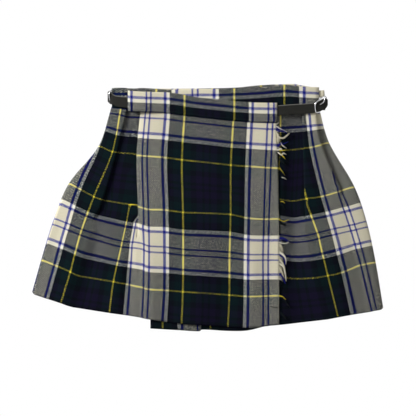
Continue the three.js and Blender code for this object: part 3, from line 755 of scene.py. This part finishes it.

# %% [markdown]
# The free edge is unpicked, so only weft threads are left there. They catch on each other and
# hang in locks. Each lock is drawn below as a path with its number of threads, how far
# they spread and the colour of its row; short loose ends fill the edge between the locks.

# %% fringe
CREAM_ROW, BLUE_ROW, PALE_ROW, BLACK_ROW, GREEN_ROW, YELLOW_ROW = 12, 21.85, 26, 32, 42, 48.8
LOCKS = [
    # row colour, threads, spread, path of x and y
    (BLUE_ROW, 9, 1.0, [(80, 98.6), (85.6, 94.6), (90.6, 92.8), (95, 89)]),
    (PALE_ROW, 4, 0.7, [(79, 100.2), (82.8, 100), (85.2, 102.2)]),
    (PALE_ROW, 5, 0.8, [(82, 97.4), (88, 93.6), (95.4, 90.6)]),
    (BLUE_ROW, 6, 0.9, [(82, 92.4), (87, 91.6), (92.6, 91.2)]),
    (CREAM_ROW, 10, 1.2, [(81.8, 90.6), (84.8, 85.4), (88.2, 83), (92.8, 84), (97.8, 89)]),
    (CREAM_ROW, 12, 1.6, [(82.6, 88), (85, 83.6), (86.4, 79.2)]),
    (CREAM_ROW, 8, 1.2, [(82.8, 82.4), (84.6, 79), (85.2, 76.4)]),
    (BLUE_ROW, 14, 1.5, [(81.8, 72.4), (86.4, 75.2), (89.6, 78)]),
    (BLUE_ROW, 3, 0.3, [(88.6, 75), (92, 76.6), (96.8, 79)]),
    (PALE_ROW, 4, 0.4, [(87.4, 77.2), (90.6, 73.6), (94.8, 71)]),
    (PALE_ROW, 6, 0.9, [(81.4, 68), (87.6, 70.2), (89.6, 67.6)]),
    (YELLOW_ROW, 4, 0.5, [(86, 68), (89.4, 68.2), (94, 68.8)]),
    (PALE_ROW, 5, 0.8, [(84, 66), (89.2, 62.4), (90.6, 65.4), (94.4, 63.2)]),
    (YELLOW_ROW, 2, 0.5, [(88, 64), (91, 60.4), (93.2, 58)]),
    (GREEN_ROW, 6, 1.2, [(86, 58), (90.4, 54.8), (93.8, 51)]),
    (YELLOW_ROW, 1, 0.3, [(86.4, 47.6), (89.6, 43), (92.4, 38.8)]),
    (GREEN_ROW, 5, 1.2, [(86.6, 46), (90, 42), (91.6, 37)]),
    (PALE_ROW, 1, 0.1, [(88.6, 36.2), (91.6, 35.4), (94.6, 33.4)]),
    (YELLOW_ROW, 1, 0.3, [(87.4, 7.2), (90.4, 7.4), (92.6, 5)]),
    (GREEN_ROW, 4, 1.0, [(87.4, 4), (90.8, 1.6), (92.6, -3)]),
    (YELLOW_ROW, 4, 0.35, [(84, -13.8), (88, -15.4), (91, -16.8), (97.2, -14.6)]),
    (GREEN_ROW, 9, 1.3, [(85, -17), (89.6, -19.6), (94.2, -21.6)]),
    (BLUE_ROW, 10, 1.4, [(83, -37.4), (88.6, -37), (93, -38.4), (97.2, -41)]),
    (PALE_ROW, 5, 0.5, [(84, -41.6), (89.4, -42.8), (93, -43.2), (97, -41.2)]),
    (CREAM_ROW, 8, 1.2, [(84, -44.4), (88, -47), (90.6, -52.6)]),
    (PALE_ROW, 9, 1.3, [(83.8, -53.2), (90.2, -56.6), (93.6, -62.2), (93.2, -68.2)]),
    (BLUE_ROW, 7, 1.1, [(83.8, -55.4), (89, -58.6), (92.4, -63.6), (92.4, -71)]),
    (CREAM_ROW, 9, 1.6, [(83.8, -60.6), (89, -65.4), (92, -72.6), (92.6, -80)]),
    (PALE_ROW, 7, 1.1, [(83.8, -66.4), (90.8, -70.8), (93.2, -79.6), (94, -88.4)]),
    (CREAM_ROW, 8, 1.4, [(83.8, -71.4), (88.4, -76.2), (91.4, -84.6)]),
    (BLUE_ROW, 9, 0.9, [(83.8, -78), (88.6, -81.6), (91, -86), (93.4, -91.6)]),
    (YELLOW_ROW, 4, 0.35, [(84, -105.8), (88.6, -106.4), (91.4, -108.2), (94, -110.6)]),
    (GREEN_ROW, 5, 0.9, [(86, -107.4), (92, -111), (98, -119.4)]),
    (GREEN_ROW, 5, 1.4, [(85, -124), (90, -129), (95, -134)]),
]
FRINGE_HEIGHT = 6.9
LOOSE_ENDS = 420
LONGER_ENDS = [
    # place down the edge, reach of the loose ends there
    (-140, 1.6), (-97, 1.8), (-92, 5.4), (-60, 6.4), (-40, 5.6), (-34, 1.6), (62, 1.6), (66, 3.6),
    (84, 5.4), (100, 5)]
STRANDS = 1.6                  # strands drawn for each thread of a lock
EDGE_ROWS = sorted((smooth(FREE_EDGE_Y, row, LEVELS), row) for row in finer(LEVELS, 3))
THREAD_RADII = [0.3, 0.36, 0.38, 0.38, 0.34, 0.3, 0.24, 0.1]


def strand(bm, uv, points, radii, weft):
    """A thread of three sides through the points."""
    ring = None
    for n, (point, radius) in enumerate(zip(points, radii)):
        a, b = points[max(n - 1, 0)], points[min(n + 1, len(points) - 1)]
        way = (Vector(b) - Vector(a)).normalized()
        side = Vector((-way.y, way.x, 0)).normalized()
        up = way.cross(side)
        new = [bm.verts.new((Vector(point) + (side * math.cos(w) + up * math.sin(w)) * radius) * MM)
               for w in (math.pi / 2, math.pi * 7 / 6, math.pi * 11 / 6)]
        if ring:
            for k in range(3):
                face = bm.faces.new((ring[k], ring[(k + 1) % 3], new[(k + 1) % 3], new[k]))
                face.smooth = True
                for loop in face.loops:
                    loop[uv].uv = (0, weft)
        else:
            bm.faces.new(new[::-1])
        ring = new
    bm.faces.new(ring)


def bend(path, shift, wave):
    """A smooth way along a lock's path, moved aside and a little wavy."""
    places, count = list(range(len(path))), len(THREAD_RADII)
    out = []
    for n in range(count):
        near = n / (count - 1)
        t = near * places[-1]
        x = smooth([p[0] for p in path], t, places) + shift[0] * (0.5 + 0.5 * near)
        y = smooth([p[1] for p in path], t, places) + shift[1] * (1 - 0.45 * near)
        out.append((x + wave * math.sin(n * 1.9), y + wave * math.cos(n * 1.7),
                    FRINGE_HEIGHT + 0.5 * math.sin(near * math.pi) - 0.4 * near + shift[2]))
    return out


random.seed(7)
fringe_mesh = bpy.data.meshes.new("fringe_threads")
bm = bmesh.new()
fringe_uv = bm.loops.layers.uv.new(UV_NAME)
for row, threads_in_lock, spread, path in LOCKS:
    for n in range(round(threads_in_lock * STRANDS)):
        shift = (random.uniform(-0.6, 0.6) * spread, random.uniform(-1, 1) * spread,
                 random.uniform(-0.2, 0.4))
        strand(bm, fringe_uv, bend(path, shift, random.uniform(0, 0.25)), THREAD_RADII, row)
for n in range(LOOSE_ENDS):
    y = lerp(98, -137, (n + random.random()) / LOOSE_ENDS)
    x = along([(-140, 85.8), (-14, 85.6), (47, 84.3), (101, 81.6)], y)
    reach = random.uniform(0.5, 1) * along(LONGER_ENDS, y)
    fall = random.uniform(-1.5, 0.3) * reach
    points = [(x - 1.4, y, FRINGE_HEIGHT + 0.3), (x + reach * 0.5, y + fall * 0.3, FRINGE_HEIGHT + 0.4),
              (x + reach, y + fall, FRINGE_HEIGHT - 0.1)]
    strand(bm, fringe_uv, points, [0.26, 0.24, 0.1], along(EDGE_ROWS, y))
STITCH_X, STITCH_Z, STITCH_STEP = 84.7, 7.75, 2.3
STITCHES, FIRST_STITCH = 58, -4
for n in range(STITCHES):
    y = FIRST_STITCH - n * STITCH_STEP
    ends = [(STITCH_X, y, STITCH_Z), (STITCH_X + 0.2, y - 1.2, STITCH_Z)]
    strand(bm, fringe_uv, ends, [0.2, 0.2], PALE_ROW)
strand(bm, fringe_uv, [(74.6, -118.8, STITCH_Z), (81, -119.6, STITCH_Z), (88, -119.8, STITCH_Z - 0.6)],
       [0.35, 0.4, 0.3], BLACK_ROW)
bmesh.ops.recalc_face_normals(bm, faces=bm.faces)
bm.to_mesh(fringe_mesh)
bm.free()
fringe = bpy.data.objects.new("fringe_threads", fringe_mesh)
bpy.context.scene.collection.objects.link(fringe)
fringe.data.materials.append(fringe_wool)
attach(fringe, "root")
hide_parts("fringe")
print("locks", len(LOCKS), "loose ends", LOOSE_ENDS)

# %% [markdown]
# The list of what each sheet rests on is turned into a list once more; nothing is done with it.

for piece, cad, width, length, area, under in CLOTH_PIECES:
    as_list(under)

# %% [markdown]
# The straps are saddle leather: nearly black, with a paler cut edge and a fine grain.

# %% leather


def leather_material():
    material, tree, shader = new_material("strap_leather")
    place = node(tree, "ShaderNodeTexCoord", {}, output=3)
    grain = node(tree, "ShaderNodeTexVoronoi", {}, place, Scale=1500.0)
    cloud = node(tree, "ShaderNodeTexNoise", {}, place, Scale=120.0, Detail=4.0)
    face = mix_colour(tree, cloud, (0.009, 0.009, 0.008, 1), (0.017, 0.017, 0.014, 1))
    uv = node(tree, "ShaderNodeUVMap", {"uv_map": UV_NAME})
    parts = tree.nodes.new("ShaderNodeSeparateXYZ")
    tree.links.new(uv.socket, parts.inputs[0])
    beside = Wire(tree, parts.outputs[1]).math("SUBTRACT", 0.35).math("ABSOLUTE")
    edge = beside.math("LESS_THAN", 0.3)
    colour = mix_colour(tree, edge, face, (0.10, 0.10, 0.09, 1))
    bump = node(tree, "ShaderNodeBump", {}, Height=grain, Strength=0.25, Distance=0.0002)
    drive(tree, shader, Base_Color=colour, Roughness=cloud * 0.25 + 0.5, Normal=bump)
    drive(tree, shader, **{"Specular IOR Level": 0.12})
    return material


leather = leather_material()
RIGHT_STRAP = [
    (84, 116.2, 7.6, 1), (96, 117.2, 7.6, 1), (112, 118.2, 7.6, 1), (122, 119, 7.6, 1),
    (128, 119.8, 7.5, 0.98),
    (132.5, 121.2, 7.4, 1), (137, 123.2, 7, 1.1), (140.6, 124.6, 6.2, 1.08), (142.6, 125.6, 5.4, 0.84),
    (144, 126.2, 4.7, 0.5)]
LEFT_STRAP = [
    (-119.6, 133, 3.4, 0.84), (-119, 133, 5.2, 1.08), (-117.4, 132.4, 6.6, 1.18), (-115, 130.6, 7.3, 1.1),
    (-113, 129.3, 7.5, 1), (-109, 127.6, 7.6, 1.04), (-96, 126.2, 7.6, 1.1), (-76, 125.6, 7.6, 1.1)]
STRAP_WIDTH = 12.4
STRAP = 1.5


def strap(name, table, cad):
    steps, wide = 6, 9
    columns = (len(table) - 1) * steps + 1

    def place(i, j):
        k = min(i // steps, len(table) - 2)
        x, y, z, tip = across(table, k, (i - k * steps) / steps)
        side = 1 - 2 * j / (wide - 1)
        return x, y + side * tip * STRAP_WIDTH / 2, z - 0.12 * side ** 6, i, j

    piece, _ = sheet_object(name, columns, wide, place, STRAP)
    bevel = piece.modifiers.new("edge", "BEVEL")
    bevel.width = 0.35 * MM
    bevel.segments = 2
    bevel.angle_limit = 1.0
    piece.data.materials.append(leather)
    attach(piece, "root")
    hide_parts(cad)


strap("strap_right_leather", RIGHT_STRAP, "strap_right")
strap("strap_left_leather", LEFT_STRAP, "strap_left")
for cad in ("buckle_loop_right", "buckle_loop_left"):
    held = bpy.data.objects[cad]
    held.data.materials.clear()
    held.data.materials.append(leather)

# %% [markdown]
# The buckles are bent from round wire and plated. A curve with a round bevel makes the wire.

# %% chrome


def chrome_material():
    material, tree, shader = new_material("buckle_chrome")
    place = node(tree, "ShaderNodeTexCoord", {}, output=3)
    haze = node(tree, "ShaderNodeTexNoise", {}, place, Scale=300.0, Detail=3.0)
    drive(tree, shader, Base_Color=(0.82, 0.82, 0.84, 1), Metallic=1.0, Roughness=haze * 0.12 + 0.08)
    return material


chrome = chrome_material()


def wire_object(name, points, radii, cyclic, cad):
    curve = bpy.data.curves.new(name, "CURVE")
    curve.dimensions = "3D"
    curve.bevel_depth = 1.0 * MM
    curve.bevel_resolution = 5
    curve.use_fill_caps = True
    spline = curve.splines.new("POLY")
    spline.points.add(len(points) - 1)
    spline.use_cyclic_u = cyclic
    for target, point, radius in zip(spline.points, points, radii):
        target.co = (*(Vector(point) * MM), 1)
        target.radius = radius
    temporary = bpy.data.objects.new(name + "_curve", curve)
    bpy.context.scene.collection.objects.link(temporary)
    graph = bpy.context.evaluated_depsgraph_get()
    mesh = bpy.data.meshes.new_from_object(temporary.evaluated_get(graph))
    bpy.data.objects.remove(temporary)
    mesh.name = name
    for polygon in mesh.polygons:
        polygon.use_smooth = True
    piece = bpy.data.objects.new(name, mesh)
    bpy.context.scene.collection.objects.link(piece)
    piece.data.materials.append(chrome)
    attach(piece, "root")
    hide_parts(cad)


RIGHT_FRAME = [
    (129.4, 114.4, 8.3), (128.5, 119, 9), (128.6, 123.2, 9.4), (130.2, 126.2, 9.6), (133.4, 129.2, 9.6),
    (137.4, 132, 9.2), (141, 133.4, 8), (142.6, 131.6, 6), (142.4, 127.4, 4.4), (141.2, 122.6, 4.2),
    (138.4, 118.2, 4.6), (134.4, 114.8, 6), (131.2, 113.6, 7.4)]
wire_object("buckle_right_wire", RIGHT_FRAME, [0.66] * len(RIGHT_FRAME), True, "buckle_right")
LEFT_FRAME = [
    (-115.2, 141, 7.6), (-117.4, 139.4, 8.4), (-118.3, 135.8, 8.8), (-118.2, 132.8, 8.7),
    (-117.3, 130.2, 8.1),
    (-117.8, 127.4, 6), (-117.6, 124.8, 4.6), (-116.4, 124.2, 3.2), (-115.8, 128, 2.9), (-115.8, 134, 2.9),
    (-115.4, 139.2, 4.4)]
wire_object("buckle_left_wire", LEFT_FRAME, [0.55] * len(LEFT_FRAME), True, "buckle_left")
wire_object("prong_right_wire", [(134.6, 123.4, 8.6), (136, 124.2, 8.9), (138, 125.4, 9), (139.6, 128, 8.6),
                                 (140, 131.2, 8.2)], [0.6, 0.6, 0.6, 0.55, 0.4], False, "prong_right")
wire_object("prong_left_wire", [(-117.2, 131.2, 3.2), (-118.6, 131.4, 5.6), (-118.9, 131.8, 8.8)],
            [0.55, 0.55, 0.4], False, "prong_left")

# %% [markdown]
# A light table that glows white, and two soft lights. The key light comes in low from the
# upper left, so that the creases show.

# %% floor and light
TABLE_GAP = 0.2 * MM           # keeps the table's face clear of the cloth's
ROOM_LIGHT = 0.34
bpy.context.scene.view_settings.view_transform = "Standard"
floor_mesh = bpy.data.meshes.new("floor")
bm = bmesh.new()
bmesh.ops.create_grid(bm, x_segments=1, y_segments=1, size=3)
bm.to_mesh(floor_mesh)
bm.free()
floor = bpy.data.objects.new("floor", floor_mesh)
floor.location.z = -TABLE_GAP
bpy.context.scene.collection.objects.link(floor)
floor_material, floor_tree, floor_shader = new_material("pale_floor")
drive(floor_tree, floor_shader, Base_Color=(0, 0, 0, 1), Roughness=1.0, Emission_Color=(1, 1, 1, 1))
drive(floor_tree, floor_shader, **{"Emission Strength": 1.0, "Specular IOR Level": 0.0})
floor.data.materials.append(floor_material)

world = bpy.data.worlds.new("studio")
bpy.context.scene.world = world
world.use_nodes = True
world.node_tree.nodes["Background"].inputs[0].default_value = (1, 1, 1, 1)
world.node_tree.nodes["Background"].inputs[1].default_value = ROOM_LIGHT


def soft_light(name, place, size, power):
    data = bpy.data.lights.new(name, "AREA")
    data.size = size
    data.energy = power
    light = bpy.data.objects.new(name, data)
    light.location = place
    light.rotation_euler = (-Vector(place)).to_track_quat("-Z", "Y").to_euler()
    bpy.context.scene.collection.objects.link(light)


soft_light("key", (-1.3, 0.8, 0.72), 0.5, 54)
soft_light("fill", (1.3, 0.1, 1.2), 1.2, 5)
